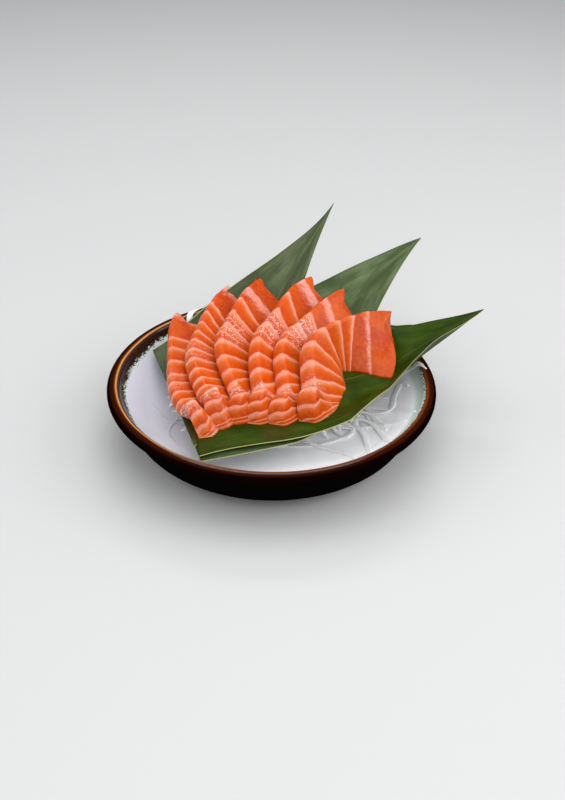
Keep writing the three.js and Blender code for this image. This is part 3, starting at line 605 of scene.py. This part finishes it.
class Slice:
    """A slice's foot line and cut face, as functions of the distance s along the foot."""

    def __init__(self, facts, last=60):
        """The knuckle is looked for among the last samples of the ridge."""
        self.facts = facts
        front = np.arange(0, facts["front"] + FRONT_SPARE, WALK_STEP)
        tail = np.arange(0, facts["tail"] + TAIL_SPARE, WALK_STEP)
        walks = []
        for sign, run in ((1, front), (-1, tail)):
            angle = self.heading(sign * (run[:-1] + WALK_STEP / 2))
            steps = sign * WALK_STEP * np.stack([np.cos(angle), np.sin(angle)], -1)
            walks.append(np.vstack([facts["corner"], facts["corner"] + np.cumsum(steps, axis=0)]))
        self.s = np.concatenate([-tail[::-1], front[1:]])
        self.feet = np.concatenate([walks[1][::-1], walks[0][1:]])
        # the ridge: its stations, the length along it, and its height
        self.near = np.linspace(-facts["tail"], facts["front"], RIDGE_SAMPLES)
        ridge = self.station(self.near)
        ridge = ridge["foot"] + ridge["up"] * ridge["height"][:, None]
        self.arc = length_along(ridge)
        self.rise = ridge[:, 2] - ridge[:, 2].min()
        # the knuckle, where it bends over to the front, and its height held back to the tail
        self.knuckle = RIDGE_SAMPLES - last + np.argmax(self.rise[-last:])
        self.top = np.append(np.repeat(self.rise[self.knuckle], self.knuckle),
                             self.rise[self.knuckle:])

    def heading(self, s, share=1.0):
        """The foot line's heading, with this share of the front end's curl."""
        f = self.facts
        turn = smooth(s / f["bend_run"] + 0.5)
        curl = run_in(s, f["front"] - CURL_RUN, CURL_RUN)
        return np.radians(mix(*f["headings"], turn) + f["curl"] * curl * share)

    def three_way(self, s, values):
        tail, corner, front = values
        f = self.facts
        return np.where(s < 0, mix(corner, tail, smooth(-s / f["tail"])),
                        mix(corner, front, smooth(s / (FRONT_REACHED * f["front"]))))

    def station(self, s):
        f = self.facts
        heading = self.heading(s)
        upright = run_in(s, f["front"] - UPRIGHT_RUN, UPRIGHT_RUN)
        lean = np.radians(mix(self.three_way(s, f["lean"]), f["end_lean"], upright))
        zero = np.zeros_like(s)
        out = np.stack([np.sin(heading), -np.cos(heading), zero], -1)
        vertical = np.array([0.0, 0.0, 1.0])
        cos, sin = np.cos(lean)[..., None], np.sin(lean)[..., None]
        square = self.heading(s, CURLED_THICKNESS)
        away = np.stack([np.sin(square), -np.cos(square), zero], -1)
        rounding = np.clip((s - (f["front"] - ROUND_RUN)) / ROUND_RUN, 0, 1)
        height = self.three_way(s, f["height"]) * np.sqrt(1 - rounding ** ROUND_POWER)
        foot = np.stack([np.interp(s, self.s, self.feet[:, 0]),
                         np.interp(s, self.s, self.feet[:, 1]),
                         zero + FOOD_LEVEL - FOOT_SINK], -1)
        return dict(foot=foot, up=vertical * cos + out * sin, back=away * cos - vertical * sin,
                    away=away, out=out, height=np.maximum(LEAST_HEIGHT, height), cos=cos)

    def notch_depth(self, s):
        depth, tail_run, front_run = self.facts.get("notch", (0, 1, 1))
        share = 1 - np.abs(s) / np.where(s < 0, tail_run, front_run)
        return depth * np.maximum(0, share) ** NOTCH_POWER

    def level(self, rise, pitch=4):
        """How far along the ridge the front end has come down to this height."""
        past_end = pitch * np.maximum(0, -rise)
        return np.interp(-rise, -self.rise[self.knuckle:], self.arc[self.knuckle:]) + past_end

    def phase(self, s, down, bow_from=12, bow_run=20, passes=40, level_run=32, level_fade=28,
              tail_flake=14, end_flake=7.5, end_flakes=5):
        """Whole numbers at the fat lines, running from the tail to the front. `down` is the share
        of the cut face below the ridge: there each line lies closer to the inner corner."""
        places, amounts = zip(*self.facts["slant"])
        bow = self.facts["bow"] * np.sin(math.pi * down) * smooth(-(s - bow_from) / bow_run)
        at = s
        for _ in range(passes):
            at = s + bow + np.interp(at, places, amounts) * down
        beyond = at - np.clip(at, self.near[0], self.near[-1])
        slanted = np.interp(at, self.near, self.arc) + beyond
        # over the front end the lines turn level
        rise = np.interp(s, self.near, self.top)
        low = rise - down * (rise + LEAST_HEIGHT)
        level = np.interp(s, self.near, self.arc) + self.level(low) - self.level(rise)
        arc = mix(slanted, level, smooth((s - self.facts["front"] + level_run) / level_fade))
        fat = np.array(self.facts["fat_at"], float)
        after = fat[-1] + end_flake * np.arange(1, end_flakes + 1)
        fat = np.concatenate([[fat[0] - tail_flake], fat, after])
        return np.interp(arc, fat, np.arange(len(fat)))

    def relief(self, s, share, sizes, depth=0.45, rise=0.3, fall=0.7, swing=1.2, base=0.55,
               calm_run=38, calm_fade=10, calm_share=0.7):
        """How far the flakes stand out, each with its own size, less so at the front end."""
        phase = self.phase(s, np.broadcast_to(1 - share, s.shape))
        flake = np.floor(phase)
        p = phase - flake
        swell = smooth(p / rise) * (1 - p) ** fall
        size = sizes[np.clip(flake.astype(int), 0, FLAKE_COUNT - 1)]
        calm = 1 - calm_share * smooth((s - self.facts["front"] + calm_run) / calm_fade)
        return depth * size * (swing * swell - base) * share * calm


def tail_reach(share, hollow=4, hollow_from=0.45, bulge=2, bulge_to=0.6):
    """How far the tail's end draws in below its horn, and swells out near the foot."""
    drawn_in = np.sin(math.pi * smooth((share - hollow_from) / (1 - hollow_from)))
    swollen = np.sin(math.pi * np.minimum(1, share / bulge_to))
    return bulge * swollen - hollow * drawn_in


def cut_face(cut, at, share, sizes, power=1.3, relief_share=0.55):
    """Points up the cut face, which takes a share of the ridge's relief."""
    st = cut.station(at)
    bulge = cut.relief(at, share ** power, sizes)
    face = st["foot"] + st["up"] * (st["height"] * share + bulge * (share == 1))[..., None]
    face = face + st["out"] * (cut.notch_depth(at) * (1 - share))[..., None]
    return face - st["back"] * (bulge * relief_share)[..., None]


def slice_back(cut, at, share, sizes, power=6, rim_fall=0.8):
    """Points down the back. The rim's far edge lies lower than the ridge."""
    st = cut.station(at)
    fallen = np.where(share == 1, rim_fall, 0)
    rise = st["height"] * share - fallen + cut.relief(at, share ** power, sizes)
    through = mix(st["away"] / st["cos"], st["back"], share[..., None]) * cut.facts["thickness"]
    return st["foot"] + st["up"] * rise[..., None] + through


def rounded(ring, s, front, softness=(0.12, 0.3, 0.5, 0.6, 0.6, 0.6, 0.5, 0.3, 0.12), passes=7,
            end_run=4.5, end_share=0.3):
    """The sections with soft edges along the rim, a drawn-in front end and level feet."""
    soft = np.zeros(ring.shape[1])
    reach = len(softness) // 2
    for corner in (FACE_ROWS - 1, FACE_ROWS + RIM_ROWS):
        soft[corner - reach:corner + reach + 1] = softness
    for _ in range(passes):
        middle = (np.roll(ring, 1, axis=1) + np.roll(ring, -1, axis=1)) / 2
        ring = mix(ring, middle, soft[None, :, None])
    ending = np.clip((s - front + end_run) / end_run, 0, 1)
    drawn_in = end_share * (1 - np.sqrt(1 - ending ** 2))
    middle = ring[..., :2].mean(axis=1, keepdims=True)
    ring[..., :2] = mix(ring[..., :2], middle, drawn_in[:, None, None])
    floor = FOOD_LEVEL - FOOT_SINK
    ring[..., 2] = np.maximum(floor + FOOT_LIFT, ring[..., 2])
    ring[:, [0, -1], 2] = floor
    return ring


def on_the_leaves(points, leaves, clearance=0.05):
    """The heights of the points, where those that would be under a leaf come up to lie on it."""
    heights = points[:, 2].copy()
    above, down = 1, (0, 0, -1)  # from a metre up
    for leaf in leaves:
        blade = leaf.data
        tree = BVHTree.FromPolygons([v.co for v in blade.vertices],
                                    [list(f.vertices) for f in blade.polygons])
        for i, (x, y, _) in enumerate(points * MM):
            hit = tree.ray_cast((x, y, above), down)[0]
            if hit is not None:
                heights[i] = max(heights[i], hit.z / MM + clearance)
    return heights


def flesh_marks(cut, arc, v, band_edge=3.5, band_fade=0.9, torn_edge=6, torn_height=(0.45, 0.35),
                knuckle=22, knuckle_reach=9, knuckle_height=(0.7, 0.3)):
    """How much broad fat and torn flesh there is at each point; the torn flesh also carries painted
    glints. A broad band comes in over band_edge and fades over the share band_fade of its width.
    The knuckle is marked torn too, so it gets the painted glints as well."""
    fat = np.zeros(arc.shape)
    for begin, width, strength in cut.facts["bands"]:
        fading = smooth((begin + width - arc) / (band_fade * width))
        fat = np.maximum(fat, strength * smooth((arc - begin) / band_edge) * fading)
    start, end, rough = cut.facts["torn_and_glints"]
    torn_and_glints = rough * smooth((arc - start) / torn_edge) * smooth((end - arc) / torn_edge)
    torn_and_glints = torn_and_glints * run_in(v, *torn_height)
    from_knuckle = np.abs(arc - (cut.arc[-1] - knuckle))
    bent = smooth((knuckle_reach - from_knuckle) / torn_edge) * run_in(v, *knuckle_height)
    return fat, np.maximum(torn_and_glints, bent)


def make_slice(number, facts, leaves, pitch=0.75, crowding=1.35, crown=1.1, crown_power=3.2):
    """A slice as closed sections: up the cut face, over the rim and down the back. Its u is the
    phase of the flakes, its v runs 0 to 1 up the face, to 2 over the rim and to 3 down the back."""
    cut = Slice(facts)
    count = int(cut.arc[-1] / pitch)
    s = np.interp(np.linspace(0, cut.arc[-1], count), cut.arc, cut.near)
    near_tail = smooth(1 - (s + facts["tail"]) / TAIL_RUN)[:, None]
    rng = np.random.default_rng(number)
    sizes = np.array([rng.uniform(*FLAKE_SIZES) for _ in range(FLAKE_COUNT)])

    up = 1 - (1 - np.linspace(0, 1, FACE_ROWS)[None, :]) ** crowding
    at_up = s[:, None] - near_tail * tail_reach(up)
    face = cut_face(cut, at_up, up, sizes)
    down = np.linspace(1, 0, BACK_ROWS)[None, :]
    at_down = s[:, None] - near_tail * tail_reach(down)
    rear = slice_back(cut, at_down, down, sizes)
    over = np.linspace(0, 1, RIM_ROWS + 2)[1:-1][None, :]
    proud = (1 - np.abs(2 * over - 1) ** crown_power) * crown
    rim = mix(face[:, -1:, :], rear[:, :1, :], over[..., None])
    rim = rim + cut.station(s)["up"][:, None, :] * proud[..., None]
    ring = rounded(np.concatenate([face, rim, rear], axis=1), s, facts["front"])

    u_face = cut.phase(at_up, np.broadcast_to(1 - up, at_up.shape))
    u_back = cut.phase(at_down, np.broadcast_to(1 - down, at_down.shape))
    u_rim = mix(u_face[:, -1:], u_back[:, :1], over)
    u = np.concatenate([u_face, u_rim, u_back], axis=1)
    v = np.broadcast_to(np.concatenate([up, 1 + over, 3 - down], axis=1), u.shape)
    at = np.concatenate([at_up, np.repeat(s[:, None], RIM_ROWS, 1), at_down], axis=1)
    fat, torn_and_glints = flesh_marks(cut, np.interp(at, cut.near, cut.arc), v)

    points = ring.reshape(-1, 3)
    points[:, 2] = on_the_leaves(points, leaves)
    return mesh_object(f"salmon_slice_{number}_flesh", points, ring_faces(count, ring.shape[1]),
                       np.stack([u, v], -1).reshape(-1, 2),
                       {"broad_fat": fat.ravel(), "torn_and_glints": torn_and_glints.ravel()})


def salmon_material():
    m = Nodes("salmon_flesh")
    u, v = m.uv()
    torn_and_glints = m.attribute("torn_and_glints")
    # each flake from its fat line to the next, with a wider fat line on the rim
    p = m.math("FRACT", m.plus(u, m.swing(m.noise(150, detail=3, roughness=0.6), 0.34)))
    fat, blush, orange, deep = (srgb(213, 139, 117), srgb(201, 99, 50), srgb(192, 75, 0),
                                srgb(184, 58, 0))
    face = m.ramp(p, [(0.0, fat), (0.07, fat), (0.2, blush), (0.4, orange), (0.8, deep),
                      (0.92, deep), (0.98, fat)])
    rim = m.ramp(p, [(0.0, fat), (0.14, fat), (0.32, blush), (0.55, orange), (0.82, deep),
                     (0.89, deep), (0.965, fat)])
    colour = m.blend(m.step(v, 0.9, 1.1), face, rim)
    # the plain flesh at the tail, before the first line
    plain = m.blend(m.step(m.noise(90, detail=3), 0.35, 0.65), srgb(184, 69, 0), srgb(170, 51, 0))
    colour = m.blend(m.step(u, 0.7, 0.95), plain, colour)
    # the broad bands of fat, with torn edges
    ragged = m.plus(m.attribute("broad_fat"), m.swing(m.noise(330, detail=4, roughness=0.75), 1.9))
    colour = m.tint(colour, m.step(ragged, 0.2, 1.05), 0.9, srgb(216, 150, 140))
    # slow and fine variation
    colour = m.tint(colour, m.step(m.noise(60), 0.45, 0.8), 0.3, srgb(206, 97, 28))
    mottle = m.step(m.noise(420, detail=3, roughness=0.7), 0.42, 0.7)
    colour = m.tint(colour, mottle, 0.22, srgb(216, 118, 44))
    # torn flesh: pinker, with pale fibres and painted glints, white specks that stand in for
    # highlights
    colour = m.tint(colour, torn_and_glints, 0.12, srgb(220, 112, 66))
    fibres = m.noise(800, detail=3, roughness=0.65)
    wave = m.math("SINE", m.plus(m.times(u, 19.0), m.times(fibres, 5.0)))
    streaks = m.times(torn_and_glints, m.step(wave, 0.55, 1.0))
    colour = m.tint(colour, streaks, 0.4, srgb(240, 190, 176))
    # painted highlights: white specks where the flesh is torn
    painted_glints = m.times(torn_and_glints, m.step(m.noise(1500, detail=1), 0.62, 0.67))
    colour = m.blend(painted_glints, colour, srgb(255, 236, 230))
    # a wet, uneven surface
    skin = m.bump(m.noise(260, detail=3), 0.4, 0.0008)
    grain = m.bump(m.noise(1300), 0.3, 0.0005, skin)
    sparkle = m.bump(fibres, m.times(torn_and_glints, 0.6), 0.0012, grain)
    film = m.plus(m.times(torn_and_glints, 0.45), 0.2)
    return m.set(Base_Color=colour, Roughness=0.45, Normal=sparkle, Specular_IOR_Level=0.08,
                 Subsurface_Weight=0.35, Subsurface_Radius=(1.0, 0.25, 0.08),
                 Subsurface_Scale=0.0035, Coat_Weight=film, Coat_Roughness=0.08)


# ---------------- daikon

def smooth_route(points, curve_steps=24):
    """A smooth curve through the points, at even distances."""
    points = np.array(points, float)
    padded = np.vstack([2 * points[0] - points[1], points, 2 * points[-1] - points[-2]])
    out = []
    for k in range(len(points) - 1):
        a, b, c, d = padded[k:k + 4]
        t = np.linspace(0, 1, curve_steps, endpoint=False)[:, None]
        out.append(0.5 * (2 * b + (c - a) * t + (2 * a - 5 * b + 4 * c - d) * t ** 2
                          + (3 * b - a - 3 * c + d) * t ** 3))
    curve = np.vstack(out + [points[-1:]])
    length = length_along(curve)
    even = np.linspace(0, length[-1], ROUTE_STEPS)
    return np.stack([np.interp(even, length, curve[:, 0]),
                     np.interp(even, length, curve[:, 1])], -1)


def ribbon(route, lift, width, thickness, rng, swing=0.12, swings=7, roll=0.2, tilt=0.4,
           rolls=5, end_width=0.25, end_rate=6, phases=6, clearance=0.05):
    """Rings of a flat strip that lies on the dish or `lift` above it, with wavy, tilted sides."""
    along = np.gradient(route, axis=0)
    along /= np.linalg.norm(along, axis=1)[:, None] + 1e-9
    side = np.stack([-along[:, 1], along[:, 0]], -1)
    t = np.linspace(0, 1, len(route))
    half = width / 2 * (1 + swing * np.sin(swings * t + rng.uniform(0, phases)))
    half = half * np.minimum(1, end_width + end_rate * np.minimum(t, 1 - t))
    roll = roll * np.sin(rolls * t + rng.uniform(0, phases))
    rings = []
    for across, high in STRAND_SECTION:
        edge = route + side * (half * across)[:, None]
        low = dish_surface(np.hypot(edge[:, 0], edge[:, 1]))
        z = low + lift + thickness * (high + 0.5) + roll * across * tilt
        z = np.maximum(z, low + clearance)
        rings.append(np.stack([edge[:, 0], edge[:, 1], z], -1))
    return np.stack(rings, 1)


def stray_strands(least=0.1, climb=6):
    """The strands that the photo shows: curve, lift, width, thickness and soaked."""
    t = np.linspace(0, 1, ROUTE_STEPS)
    lift = least + climb * (1 - t) ** 3
    for route in STRAND_ROUTES:
        soaked = route[-1][0] < SOAKED_BEYOND and route[-1][1] < 0
        size = SOAKED if soaked else STRAND
        yield smooth_route(route), lift, size["width"], size["thickness"], soaked


def heaped_shreds(rng, count=190, steps=22, middle=(0, 9), spread=(48, 34), reach=(0.15, 1.05),
                  length=(18, 42), turn=1.6, width=(1.8, 2.8), thickness=0.6, heap=(44, 32),
                  below_top=1.1, least=0.3, edge=1.28, slope=0.45, heights=(0.15, 1), power=0.6):
    """Short curved shreds in a low heap, each somewhere between the dish and its top."""
    t = np.linspace(-0.5, 0.5, steps)
    for _ in range(count):
        angle = rng.uniform(0, 2 * math.pi)
        out = rng.uniform(*reach)
        place = np.array([middle[0] + spread[0] * out * math.cos(angle),
                          middle[1] + spread[1] * out * math.sin(angle)])
        heading = rng.uniform(0, 2 * math.pi)
        long = rng.uniform(*length)
        direction = heading + rng.uniform(-turn, turn) * t
        walk = np.stack([np.cos(direction), np.sin(direction)], -1) * long / (steps - 1)
        curve = place + np.cumsum(walk, axis=0) - walk.sum(0) / 2
        x, y = curve.T
        beyond = np.hypot((x - middle[0]) / heap[0], (y - middle[1]) / heap[1])
        room = np.clip(BED_TOP - below_top - dish_surface(np.hypot(x, y)), least, None)
        top = room * smooth((edge - beyond) / slope)
        lift = least + top * rng.uniform(*heights) ** power
        yield curve, lift, rng.uniform(*width), thickness, False


def make_daikon():
    rng = np.random.default_rng(7)
    strands = [*stray_strands(), *heaped_shreds(rng)]
    points, faces, wet, base = [], [], [], 0
    for curve, lift, width, thickness, soaked in strands:
        rings = ribbon(curve, lift, width, thickness, rng).reshape(-1, 3)
        strand_faces = np.array(ring_faces(len(curve), len(STRAND_SECTION)))
        faces += (strand_faces + base).tolist()
        points.append(rings)
        wet.append(np.full(len(rings), float(soaked)))
        base += len(rings)
    return mesh_object("daikon_heap", np.vstack(points), faces,
                       attributes={"wet": np.concatenate(wet)})


def daikon_material():
    m = Nodes("daikon_flesh")
    fibre = m.noise(700, detail=3)
    colour = m.ramp(fibre, [(0.3, srgb(252, 251, 254)), (0.7, srgb(255, 255, 255))])
    colour = m.blend(m.attribute("wet"), colour, srgb(216, 214, 224))
    bump = m.bump(fibre, 0.3, 0.0004)
    return m.set(Base_Color=colour, Roughness=0.28, Normal=bump, Subsurface_Weight=0.3,
                 Subsurface_Radius=(1.0, 1.0, 1.0), Subsurface_Scale=0.002,
                 Coat_Weight=0.3, Coat_Roughness=0.15)


# ---------------- the whole

def place(obj, node, slot, material):
    obj.data.materials.clear()
    obj.data.materials.append(material)
    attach(obj, "root")
    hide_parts(node)


place(make_dish(), "dish", "dish_glaze", dish_material())
place(make_daikon(), "daikon_shreds", "daikon", daikon_material())
blades = [make_leaf(leaf) for leaf in LEAVES]
for leaf, blade in zip(LEAVES, blades):
    slot = "bamboo_leaf" if leaf["name"] == "leaf_front" else "bamboo_leaf_dull"
    place(blade, leaf["name"], slot, leaf_material(leaf["name"]))
flesh = salmon_material()
for number, facts in enumerate(SLICES, 1):
    under = [] if facts.get("crossed") else blades
    place(make_slice(number, facts, under), f"salmon_slice_{number}", "salmon", flesh)


# ---------------- camera, floor and light

LIGHTS = [  # name, place and size in metres, power, and what it points at where that differs
    ("left", (-0.9, 0, 0.6), (0.8, 0.8), 3.4),
    ("right", (0.9, 0, 0.6), (0.8, 0.8), 5),
    ("front_right", (0.6, -0.6, 0.7), (0.7, 0.7), 2.6),
    ("front", (0, -0.8, 0.75), (0.8, 0.8), 5),
    ("top", (0, 0, 1.1), (1.0, 1.0), 6.5),
    ("back", (0, 0.7, 0.85), (0.6, 0.12), 2.2, (0, 0, 0.03)),
]


def turned(v, k, a):
    """The vector v, turned about the axis k by the angle a."""
    return v * math.cos(a) + np.cross(k, v) * math.sin(a) + k * np.dot(k, v) * (1 - math.cos(a))


def camera(at=(0, -0.5257, 0.3747), elevation=32.74, yaw=-0.549, pitch=-1.125, roll=-0.7,
           sensor=36, lens=51.27, nearest=0.01):
    """Looks along +Y and down by the elevation, and is then turned by small angles."""
    elevation, yaw, pitch, roll = np.radians([elevation, yaw, pitch, roll])
    forward = np.array([0, math.cos(elevation), -math.sin(elevation)])
    right = np.array([1.0, 0, 0])
    up = np.cross(right, forward)
    forward, right = turned(forward, up, yaw), turned(right, up, yaw)
    forward, up = turned(forward, right, pitch), turned(up, right, pitch)
    right, up = turned(right, forward, roll), turned(up, forward, roll)
    data = bpy.data.cameras.new("camera")
    data.sensor_fit = "VERTICAL"
    data.sensor_height = sensor
    data.lens = lens
    data.clip_start = nearest
    obj = add_object("camera", data)
    rows = np.stack([right, up, -forward, at], axis=1).tolist()
    obj.matrix_world = Matrix([*rows, [0, 0, 0, 1]])
    bpy.context.scene.camera = obj


def area_light(name, at, size, power, target=(0, 0, 0.02)):
    data = bpy.data.lights.new(name, "AREA")
    data.shape = "RECTANGLE"
    data.size, data.size_y = size
    data.energy = power
    obj = add_object(name, data)
    direction = Vector(np.array(target) - np.array(at))
    obj.location = at
    obj.rotation_euler = direction.to_track_quat("-Z", "Y").to_euler()


def studio(reach=6.0, grey=184, sky=(0.95, 0.97, 1.0, 1), sky_strength=0.42):
    mesh = bpy.data.meshes.new("floor")
    square = ((-1, -1), (1, -1), (1, 1), (-1, 1))
    mesh.from_pydata([(x * reach, y * reach, 0) for x, y in square],
                     [], [(0, 1, 2, 3)])
    floor = add_object("floor", mesh)
    m = Nodes("floor_paper")
    mesh.materials.append(m.set(Base_Color=srgb(grey, grey, grey), Roughness=0.9))
    world = bpy.data.worlds.new("studio")
    world.use_nodes = True
    background = world.node_tree.nodes["Background"]
    background.inputs["Color"].default_value = sky
    background.inputs["Strength"].default_value = sky_strength
    bpy.context.scene.world = world
    bpy.context.scene.view_settings.view_transform = "Standard"
    for light in LIGHTS:
        area_light(*light)


camera()
studio()
